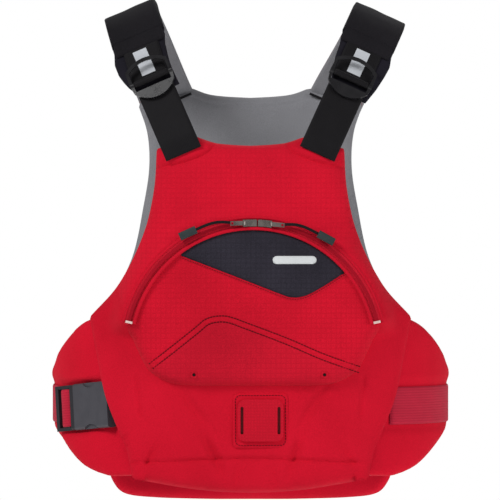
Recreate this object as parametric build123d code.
"""Pull-over paddling life jacket, held up by the wearer's torso. Millimetres, +Z up, -Y front.

The torso is a ring with rounded corners, seen from above. Every panel is a layer of that ring, cut to
the panel's outline as seen from the front. The origin is the centre of the torso opening at hem height.
"""
import os
from math import cos, radians, sin, tan

from build123d import *

os.makedirs("parts", exist_ok=True)

# Torso ring, seen from above: side panels and back lie on it, the front panel stands proud of it
HALF_WIDTH = 202.0
RING_FRONT = -137.0
RING_BACK = 148.0
RING_CORNER = 137.0
CORNER_X = HALF_WIDTH - RING_CORNER
FRONT_PROUD = 15.0
PANEL_DEPTH = 26.0
SKIN = 1.5
WING_INSIDE = 12.3
FRONT_FACE = RING_FRONT - FRONT_PROUD
LOW, HIGH = -40.0, 520.0
FAR = 400.0

# Front panel
FOAM_HALF = 110.0
WING_TOP = 185.0
HEM_SEAM = 36.0
BACK_HALF = 150.0

# Chest pocket and its zip, an arc in one plane
POCKET_FACE = FRONT_FACE - 7.0
ZIP_X, ZIP_Z, ZIP_R = 2.5, 148.5, 127.0
ZIP_END = 77.5
POCKET_R = 133.0
WELT_R = 121.6
PANEL_R = 118.5
TAPE, CHAIN = 0.6, 1.2
SLIDER_AT = {"left": -1.4, "right": 5.4}
SLIDER_HALF = 3.15
PULL_OUT = 5.9

# Lash tab
TAB_X, TAB_Z = 10.0, 78.0
SLOT_SPACING, SLOT_LONG, SLOT_WIDE = 37.0, 27.5, 3.0

# Shoulder straps, drawn in a plane that leans outwards
WEBBING = 38.0
STRAP_X, STRAP_Z = 67.0, 345.5
LEAN = {"left": 23.5, "right": 24.5}
RISE = 65.8
CREST = 158.0
BUCKLE_UP = 80.8

# Side-release buckle on the left, tangent to the ring
BUCKLE_TURN, BUCKLE_Z, BUCKLE_TILT = 51.0, 89.6, 5.0
SOCKET_FROM, SOCKET_TO, PLUG_TO = -48.0, 8.0, 42.0
BELT_Z = 91.4

SIDES = {"left": -1, "right": 1}


def save(name, shape):
    """Write one named piece."""
    export_step(shape, f"parts/{name}.step")


def ring(proud):
    """The torso ring's full solid, grown by this much."""
    centre = (RING_FRONT + RING_BACK) / 2
    depth = RING_BACK - RING_FRONT
    plan = RectangleRounded(2 * (HALF_WIDTH + proud), depth + 2 * proud, RING_CORNER + proud)
    return extrude(Pos(0, centre, LOW) * plan, HIGH - LOW)


def layer(outer, inner):
    """A layer of the ring between two surfaces."""
    return ring(outer) - ring(inner)


def block(x0, x1, y0, y1, z0, z1):
    """A box between two corners."""
    return Pos((x0 + x1) / 2, (y0 + y1) / 2, (z0 + z1) / 2) * Box(x1 - x0, y1 - y0, z1 - z0)


def outline(*curves):
    """A face from the right half of an outline, mirrored."""
    half = Curve() + list(curves)
    return make_face(half + mirror(half, about=Plane.YZ))


def smaller(face, part, x, z):
    """An outline shrunk towards a point inside it, which leaves room for a skin round the foam."""
    return Pos((1 - part) * x, (1 - part) * z) * scale(face, by=part)


def front_prism(face):
    """An outline seen from the front, carried through the front half of the torso."""
    return extrude(Plane.XZ * face, FAR)


def back_prism(face):
    """The same through the back half."""
    return extrude(Plane.XZ * face, -FAR)


def front_slab(face, depth, thick):
    """An outline at a depth, carried backwards by a thickness."""
    return extrude(Plane((0, depth, 0), x_dir=(1, 0, 0), z_dir=(0, -1, 0)) * face, -thick)


def front_outline():
    """Front panel: neckline, strap edge, armhole, wing edge and hem."""
    neck = Spline((0, 353), (36, 356), (54, 362), tangents=((1, 0), (1, 0.45)))
    strap = Line((54, 362), (94, 350))
    armhole = Spline((94, 350), (97, 308), (108, 263), (132, 215), (162, 181))
    wing = Spline((162, 181), (155, 144), (145, 98.5), (124, 47.5))
    corner = Line((124, 47.5), (118, 19))
    hem = Spline((118, 19), (57, 8.7), (0, 5), tangents=((-1, -0.12), (-1, 0)))
    return outline(neck, strap, armhole, wing, corner, hem)


def side_outline():
    """Side panel on the right: rounded top and bottom, tucked under the wing at its front."""
    top = Spline((148, 181), (166, 177), (183, 161), (192, 147), (199, 129), (206, 101),
                 tangents=((1, 0), (0, -1)))
    bottom = Spline((206, 101), (199, 70), (189.5, 54), (178, 40), (164, 28), (140, 19),
                    tangents=((0, -1), (-1, -0.3)))
    tucked = Polyline((140, 19), (FOAM_HALF + 2, 20), (FOAM_HALF + 2, 178), (148, 181))
    return make_face(Curve() + [top, bottom, tucked])


def back_outline():
    """Back panel: neckline, strap edge, armhole, side seam and hem."""
    neck = Spline((0, 409.5), (27, 411), (45, 413.5), (62, 419.7), tangents=((1, 0), (1, 0.55)))
    strap = Line((62, 419.7), (119, 403))
    armhole = Spline((119, 403), (109, 372), (107, 336), (113, 295), (125, 240), (BACK_HALF, 190))
    seam = Line((BACK_HALF, 190), (BACK_HALF, 24))
    hem = Spline((BACK_HALF, 24), (145, 6), (132, -8), (100, -13), (0, -15), tangents=((0, -1), (-1, 0)))
    return outline(neck, strap, armhole, seam, hem)


def pocket_outline():
    """Pocket: the zip's arc above, a shallow rounded bottom."""
    ends = radians(ZIP_END + 1.5)
    side = (POCKET_R * sin(ends), ZIP_Z + POCKET_R * cos(ends))
    halfway = (POCKET_R * sin(ends / 2), ZIP_Z + POCKET_R * cos(ends / 2))
    arc = ThreePointArc((0, ZIP_Z + POCKET_R), halfway, side)
    bottom = Spline(side, (121, 160), (115, 147), (104, 128), (84, 116), (60, 113), (0, 112.7),
                    tangents=((-0.4, -1), (-1, 0)))
    return Pos(ZIP_X, 0) * outline(arc, bottom)


def arc_band(radius, wide, deep, depth, start, end):
    """A rectangular section carried along the zip's circle; angles from straight up, to the right."""
    centre = (ZIP_X, depth, ZIP_Z)
    turned = (sin(radians(start)), 0, cos(radians(start)))
    section = Plane(centre, x_dir=turned, z_dir=(-turned[2], 0, turned[0]))
    spin = Axis(centre, (0, 1, 0))
    return revolve(section * Pos(radius, deep / 2) * Rectangle(wide, deep), spin, end - start)


def zip_frame(angle, depth):
    """A place on the zip: x outwards to the right along it, y away from the pocket, z to the front."""
    a = radians(angle)
    here = (ZIP_X + ZIP_R * sin(a), depth, ZIP_Z + ZIP_R * cos(a))
    return Plane(here, x_dir=(cos(a), 0, -sin(a)), z_dir=(0, -1, 0))


def front_panel():
    """Foam, chest cover, yokes, wrap panel, hem band and lining of the front."""
    face = front_outline()
    shape = front_prism(face)
    foam_cut = block(FOAM_HALF, FAR, -FAR, 0, LOW, WING_TOP + 2)
    foam = front_prism(smaller(face, 0.989, 0, 180)) & layer(FRONT_PROUD - SKIN, SKIN - PANEL_DEPTH)
    foam = foam - foam_cut - mirror(foam_cut, about=Plane.YZ)
    under = block(FOAM_HALF + 2, FAR, -FAR, 0, LOW, WING_TOP)
    under = (under + mirror(under, about=Plane.YZ)) & ring(WING_INSIDE)
    cover = (shape & layer(FRONT_PROUD, SKIN - PANEL_DEPTH)) - foam - under
    lining = (shape & layer(SKIN - PANEL_DEPTH, -PANEL_DEPTH)) - under

    upper = Polyline((-119, 167), (119, 167), (141, 230), (141, 400), (-141, 400), (-141, 230), (-119, 167))
    upper = front_prism(make_face(upper))
    seam = Spline((33, 380), (36, 353), (62.5, 337.5), (110, 328))
    yoke = front_prism(make_face(Curve() + [seam, Polyline((110, 328), (110, 380), (33, 380))]))
    chest = (cover & upper) - yoke - mirror(yoke, about=Plane.YZ)
    lower = cover - upper
    below = block(-FAR, FAR, -FAR, 0, LOW, HEM_SEAM)

    save("front_foam", foam)
    save("front_lining", lining)
    save("chest_panel", chest)
    save("shoulder_yoke_right", cover & upper & yoke)
    save("shoulder_yoke_left", cover & upper & mirror(yoke, about=Plane.YZ))
    save("lower_wrap_panel", lower - below)
    save("front_hem_band", lower & below)


def pocket():
    """Pocket, charcoal panel, zip tape and chain, piping, bar tacks and drain eyelets."""
    save("pocket_body", front_slab(pocket_outline(), POCKET_FACE, 70) - ring(FRONT_PROUD))

    left, right = radians(-37.4), radians(49.2)
    tip_left = (ZIP_X + PANEL_R * sin(left), ZIP_Z + PANEL_R * cos(left))
    tip_right = (ZIP_X + PANEL_R * sin(right), ZIP_Z + PANEL_R * cos(right))
    top = ThreePointArc(tip_left, (ZIP_X, ZIP_Z + PANEL_R), tip_right)
    dip_right, dip_left = (62, 206), (30, 204.5)
    low = [Line(tip_right, dip_right), ThreePointArc(dip_right, (46, 201), dip_left), Line(dip_left, tip_left)]
    save("pocket_upper_panel", front_slab(make_face(Curve() + [top] + low), POCKET_FACE - 0.9, 0.9))

    tape_in, tape_out = WELT_R + 1.9, POCKET_R - 0.5
    tape_r, tape_wide = (tape_in + tape_out) / 2, tape_out - tape_in
    save("zipper_tape", arc_band(tape_r, tape_wide, -TAPE, POCKET_FACE, -ZIP_END, ZIP_END))
    save("zipper_chain", arc_band(ZIP_R, 2.8, -CHAIN, POCKET_FACE - TAPE, 1 - ZIP_END, ZIP_END - 1))
    centre = (ZIP_X, POCKET_FACE - 1.9, ZIP_Z)
    turned = (sin(radians(-ZIP_END)), 0, cos(radians(ZIP_END)))
    section = Plane(centre, x_dir=turned, z_dir=(-turned[2], 0, turned[0]))
    piping = revolve(section * Pos(WELT_R, 0) * Circle(1.8), Axis(centre, (0, 1, 0)), 2 * ZIP_END)
    save("zipper_welt", piping)

    tacks = [zip_frame(s * (ZIP_END - 0.2), POCKET_FACE - TAPE - CHAIN - 0.5).location * Box(2.4, 7, 1)
             for s in (-1, 1)]
    save("zip_end_bartacks", Compound(tacks))
    eyelet = Cylinder(3.2, 1) - Cylinder(1.4, 2)
    eyelets = [Pos(8.7 + s * 65.3, POCKET_FACE - 0.5, 123.7) * Rot(90, 0, 0) * eyelet for s in (-1, 1)]
    save("drain_eyelets", Compound(eyelets))


def lash_tab():
    """Moulded tab with two slots on a stitched patch."""
    patch = front_slab(Pos(TAB_X, TAB_Z) * RectangleRounded(56, 56, 9), FRONT_FACE - 0.8, 0.8)
    slots = Pos(SLOT_SPACING / 2, 0) * RectangleRounded(SLOT_WIDE, SLOT_LONG, 1.4)
    slots = slots + mirror(slots, about=Plane.YZ)
    face = Pos(TAB_X, TAB_Z) * (RectangleRounded(46, 42, 8) - slots)
    save("lash_tab_patch", patch)
    save("lash_tab", front_slab(face, FRONT_FACE - 0.8 - 3, 3))


def buckle_frame():
    """The side-release buckle's own frame: x towards the plug, z outwards, on the ring's surface."""
    a, tilt = radians(BUCKLE_TURN), radians(BUCKLE_TILT)
    here = (-CORNER_X - RING_CORNER * sin(a), -RING_CORNER * cos(a), BUCKLE_Z)
    along = (-cos(a) * cos(tilt), sin(a) * cos(tilt), -sin(tilt))
    return Plane(here, x_dir=along, z_dir=(-sin(a), -cos(a), 0))


def side_panels():
    """Cover, foam and lining of each side, dented under the buckle on the left."""
    face = side_outline()
    back = block(-BACK_HALF, BACK_HALF, 0, FAR, LOW, HIGH)
    here = buckle_frame().location
    dent = here * block(SOCKET_FROM - 4, PLUG_TO + 2, -26, 26, -8, 60)
    deep_dent = here * block(SOCKET_FROM - 4 - SKIN, PLUG_TO + 2 + SKIN, -27.5, 27.5, -8 - SKIN, 60)
    whole = extrude(Plane.XZ * face, FAR, both=True) - back
    core = extrude(Plane.XZ * smaller(face, 0.972, 150, 100), FAR, both=True)
    core = core - block(-BACK_HALF - 2, BACK_HALF + 2, 0, FAR, LOW, HIGH)
    for side in SIDES:
        body, middle = whole, core
        if side == "left":
            body = mirror(whole, about=Plane.YZ)
            middle = mirror(core, about=Plane.YZ)
        foam = middle & layer(-SKIN, SKIN - PANEL_DEPTH)
        cover = body & layer(0, SKIN - PANEL_DEPTH)
        if side == "left":
            foam = foam - deep_dent
            cover = cover - dent
        save(f"side_foam_{side}", foam)
        save(f"side_cover_{side}", cover - foam)
        save(f"side_lining_{side}", body & layer(SKIN - PANEL_DEPTH, -PANEL_DEPTH))


def back_panel():
    """Foam, cover, lining and hem band of the back."""
    face = back_outline()
    shape = back_prism(face)
    foam = back_prism(smaller(face, 0.99, 0, 200)) & layer(-SKIN, SKIN - PANEL_DEPTH)
    cover = (shape & layer(0, SKIN - PANEL_DEPTH)) - foam
    below = block(-FAR, FAR, 0, FAR, LOW, 20)
    save("back_foam", foam)
    save("back_lining", shape & layer(SKIN - PANEL_DEPTH, -PANEL_DEPTH))
    save("back_cover", cover - below)
    save("back_hem_band", cover & below)
    inner = RING_BACK - PANEL_DEPTH
    tack = Box(14, 1, 2.6)
    tacks = [Pos(s * 69, inner - 1.3, 411) * Rot(0, s * LEAN["left"], 0) * tack for s in (-1, 1)]
    save("back_strap_bartacks", Compound(tacks))


def arch_line(out):
    """The strap's path over the shoulder, this far outside its middle line: x back, y up the strap."""
    rise, fall = radians(RISE), radians(60)
    front = FRONT_FACE - 1 - out
    top = CREST + out
    bend = 15 + out * tan(radians(45) - rise / 2)
    over_front = front + (top - bend) / tan(rise)
    over_back = 81.1 + out * tan(fall / 2)
    end = (140 + out * sin(fall), 58 + out * cos(fall))
    points = ((front, -1), (front, bend), (over_front, top), (over_back, top), end)
    return FilletPolyline(*points, radius=[20 + out, 80 + out, 200 + out])


def arch_band(inner, outer, wide):
    """A ribbon over the shoulder between two distances from its middle line."""
    low, high = arch_line(inner), arch_line(outer)
    ends = [Line(low @ 0, high @ 0), Line(low @ 1, high @ 1)]
    face = make_face(Curve() + [low, high] + ends)
    return extrude(face, wide / 2, both=True)


def strap_frame(side):
    """The leaning plane that a strap is drawn in."""
    lean = radians(LEAN[side])
    sign = SIDES[side]
    return Plane((sign * STRAP_X, 0, STRAP_Z), x_dir=(0, 1, 0), z_dir=(cos(lean), 0, -sign * sin(lean)))


def ladder_frame():
    """The ladder lock's frame within the strap's plane: x across, y up the strap, z outwards."""
    rise = radians(RISE)
    out = 3.4
    back = FRONT_FACE - 1 + (BUCKLE_UP - 15) / tan(rise) - out * sin(rise)
    up = BUCKLE_UP + out * cos(rise)
    return Plane((back, up, 0), x_dir=(0, 0, 1), z_dir=(-sin(rise), cos(rise), 0))


def ladder_lock():
    """Ladder lock: arched grip above, bar through the middle, rounded lip below."""
    lower = make_face(Curve() + [Polyline((-21.5, -9), (-23, 0), (23, 0), (21.5, -9)),
                                 ThreePointArc((21.5, -9), (0, -21.5), (-21.5, -9))])
    lower = lower - Pos(0, -4.1) * Rectangle(38.4, 8.2)
    upper = make_face(Curve() + [Polyline((22.5, 14.5), (23, 0), (-23, 0), (-22.5, 14.5)),
                                 ThreePointArc((-22.5, 14.5), (0, 22.5), (22.5, 14.5))])
    window = make_face(Curve() + [Polyline((19.6, 12.2), (19.6, 0), (-19.6, 0), (-19.6, 12.2)),
                                  ThreePointArc((-19.6, 12.2), (0, 19), (19.6, 12.2))])
    lower = extrude(lower, 1.7, both=True)
    upper = Rot(18, 0, 0) * extrude(upper - window, 1.7, both=True)
    cheeks = [Pos(s * 21.1, 0, 0) * Rot(0, 90, 0) * Cylinder(3.2, 3.8) for s in (-1, 1)]
    bar = Rot(0, 90, 0) * Cylinder(2.0, 40)
    return lower + upper + cheeks[0] + cheeks[1] + bar


def straps():
    """Everything on each shoulder strap."""
    web = arch_band(-0.8, 0.8, WEBBING) & block(-FAR, -80, -20, 73.5, -50, 50)
    pad = arch_band(-8.6, -1.2, 53) & block(-FAR, -8, 67, 200, -50, 50)
    keeper = (arch_band(-10, 2.4, 57) - arch_band(-8.8, 1.3, 54.2)) & block(-FAR, -8, 127, 200, -50, 50)
    anchor = arch_band(-1.0, 0.6, WEBBING) & block(-FAR, -60, BUCKLE_UP + 1, 145, -50, 50)
    place = ladder_frame().location
    loop = place * Rot(0, 90, 0) * Cylinder(3.9, WEBBING)
    bore = place * Rot(0, 90, 0) * Cylinder(2.2, WEBBING + 4)
    anchor = anchor + loop - bore
    tab = arch_band(0.6, 1.0, 14.5) & block(-FAR, -60, 88, 114, -50, 50)
    back = arch_band(-8.6, -0.6, 72) & block(-8, FAR, 0, 200, -50, 50)
    taper = Polyline((-32, 55), (32, 55), (27, 150), (27, 175), (-27, 175), (-27, 150), (-32, 55))
    back = back & extrude(Plane((-20, 0, 0), x_dir=(0, 0, 1), z_dir=(-1, 0, 0)) * make_face(taper), -FAR)
    torso = back_prism(back_outline())
    for side in SIDES:
        here = strap_frame(side).location
        save(f"shoulder_webbing_{side}", here * web)
        save(f"shoulder_pad_{side}", here * pad)
        save(f"strap_keeper_{side}", here * keeper)
        save(f"anchor_webbing_{side}", here * anchor)
        save(f"reflective_tab_{side}", here * tab)
        save(f"back_strap_{side}", (here * back) - torso)
        save(f"ladder_lock_{side}", here * place * ladder_lock())


def belts():
    """38 mm webbing round both sides, and the short piece that holds the socket."""
    strip = layer(1.9, 0.3) & block(-FAR, FAR, -FAR, FAR, BELT_Z - WEBBING / 2, BELT_Z + WEBBING / 2)
    back = block(120, FAR, 0, FAR, LOW, HIGH)
    save("side_belt_right", strip & (back + block(146, FAR, -FAR, 0, LOW, HIGH)))
    left = mirror(back, about=Plane.YZ) + block(-FAR, -146, -45, 0, LOW, HIGH)
    save("side_belt_left", strip & left)
    hold = layer(4.6, 3.0) & block(-170, -FOAM_HALF - 3, -FAR, 0, 74, 112)
    save("socket_webbing", hold - buckle_frame().location * block(SOCKET_FROM - 0.4, 80, -40, 40, -40, 40))


def side_release_buckle():
    """Socket with side windows; plug with guide tongue, adjuster bar and two sprung prongs."""
    here = buckle_frame().location
    low, high = -7.0, 4.0
    middle = (low + high) / 2
    shell = block(SOCKET_FROM, SOCKET_TO, -23.5, 23.5, low, high)
    shell = fillet(shell.edges().filter_by(Axis.X), 3.2)
    shell = shell - block(SOCKET_FROM + 12, SOCKET_TO + 1, -21.6, 21.6, middle - 3.1, middle + 3.1)
    for s in (-1, 1):
        shell = shell - Pos(-19, s * 24, middle) * Box(22, 8, 6.2)
        shell = shell - Pos(-19, s * 34.5, high) * Cylinder(16, 4)
    save("buckle_socket", here * shell)

    base = block(SOCKET_TO + 0.4, SOCKET_TO + 7, -23, 23, low + 1, high - 1)
    base = fillet(base.edges().filter_by(Axis.X), 2.5)
    rails = block(SOCKET_TO + 6, PLUG_TO, -23, 23, middle - 2.2, middle + 2.2)
    rails = rails - block(SOCKET_TO + 8, SOCKET_TO + 12, -19.8, 19.8, low, high)
    rails = rails - block(SOCKET_TO + 23, SOCKET_TO + 29, -19.8, 19.8, low, high)
    tongue = block(-22, SOCKET_TO + 1, -5, 5, middle - 2.6, middle + 2.6)
    save("buckle_plug", here * (base + rails + tongue))

    bar = block(SOCKET_TO + 11.7, SOCKET_TO + 23.3, -19, 19, middle - 2.5, middle + 2.5)
    loop = block(SOCKET_TO + 10, SOCKET_TO + 25, -19, 19, middle - 4.1, middle + 4.1) - bar
    save("plug_belt_loop", here * loop)

    arm = block(-24, SOCKET_TO - 0.6, 13, 18, middle - 2.5, middle + 2.5)
    button = Pos(-15, 17, middle) * Box(18, 8.6, 5)
    button = fillet(button.edges().filter_by(Axis.Z), 3)
    prong = arm + button
    save("buckle_prong_upper", here * mirror(prong, about=Plane.XZ))
    save("buckle_prong_lower", here * prong)


def pull_route():
    """The pull cord's points: outwards from the slider's middle, and away from the pocket."""
    return ((19.7, 0.8), (28.0, 2.0), (36.8, 1.0), (45.3, -1.6), (53.8, -5.2))


def cord_radii(points):
    """The largest arc at each corner that its two runs allow."""
    corners = [Vector(*p) for p in points]
    radii = []
    for before, here, after in zip(corners, corners[1:], corners[2:]):
        turn = radians((here - before).get_angle(after - here))
        shorter = min((here - before).length, (after - here).length)
        radii.append(0.45 * shorter / tan(turn / 2))
    return radii


def zip_slider():
    """Slider on the chain, with the staple that holds the pull; it faces right."""
    top = POCKET_FACE - TAPE - CHAIN - 0.3
    body = arc_band(ZIP_R, 6.8, -1.8, top, -SLIDER_HALF, SLIDER_HALF)
    for s in (-1, 1):
        body = body + arc_band(ZIP_R + s * 2.6, 1.6, CHAIN, top, -SLIDER_HALF, SLIDER_HALF)
    local = zip_frame(0, top - 1.8).location
    posts = [local * Pos(PULL_OUT, s * 2.7, 1.2) * Box(1.4, 1.2, 3.0) for s in (-1, 1)]
    pin = local * Pos(PULL_OUT, 0, 2.1) * Rot(90, 0, 0) * Cylinder(0.6, 6.6)
    return body + posts[0] + posts[1] + pin


def pull_tab(flip):
    """Metal tab with an eye on the staple's pin and a hole for the cord."""
    eye = Rot(90, 0, 0) * Cylinder(1.6, 3.6)
    plate = Pos(7.4, 0, 0) * Box(12.4, 4.4, 1.2)
    hole = Pos(11.6, 0, 0) * Box(2.2, 2.4, 3)
    tab = eye + plate - Rot(90, 0, 0) * Cylinder(0.9, 6) - hole
    return Rot(0, 180 * flip, 0) * tab


def zip_pulls():
    """Both sliders with their tabs, cords and grips."""
    depth = POCKET_FACE - TAPE - CHAIN - 0.3 - 1.8
    height = 2.1
    points = pull_route()
    radii = cord_radii(points)
    print("pull cord radii, mm:", [round(r, 1) for r in radii])
    path = FilletPolyline(*points, radius=radii)
    tube = sweep(Plane(path @ 0, z_dir=path % 0) * Circle(1.5), path=path)
    print("pull cord volume over section times length:", tube.volume / (3.14159 * 2.25 * path.length))
    grip = Box(18, 8, 5)
    grip = fillet(grip.edges().filter_by(Axis.X), 1.8)
    end, way = path @ 1, path % 1
    grip = Plane(end + way * 9, x_dir=way, z_dir=(0, 0, 1)).location * grip
    for side, sign in SIDES.items():
        turn = Axis((ZIP_X, 0, ZIP_Z), (0, 1, 0))
        slider = zip_slider()
        pieces = {"zip_cord": tube, "zip_grip": grip}
        if side == "left":
            about = Plane((ZIP_X, 0, 0), z_dir=(1, 0, 0))
            slider = mirror(slider, about=about)
            pieces = {name: mirror(shape, about=Plane.YZ) for name, shape in pieces.items()}
        here = zip_frame(SLIDER_AT[side], depth - height).location
        save(f"zip_slider_{side}", slider.rotate(turn, SLIDER_AT[side]))
        save(f"zip_pull_tab_{side}", here * Pos(sign * PULL_OUT, 0, 0) * pull_tab(side == "left"))
        for name, shape in pieces.items():
            save(f"{name}_{side}", here * shape)


front_panel()
pocket()
lash_tab()
side_panels()
back_panel()
straps()
belts()
side_release_buckle()
zip_pulls()
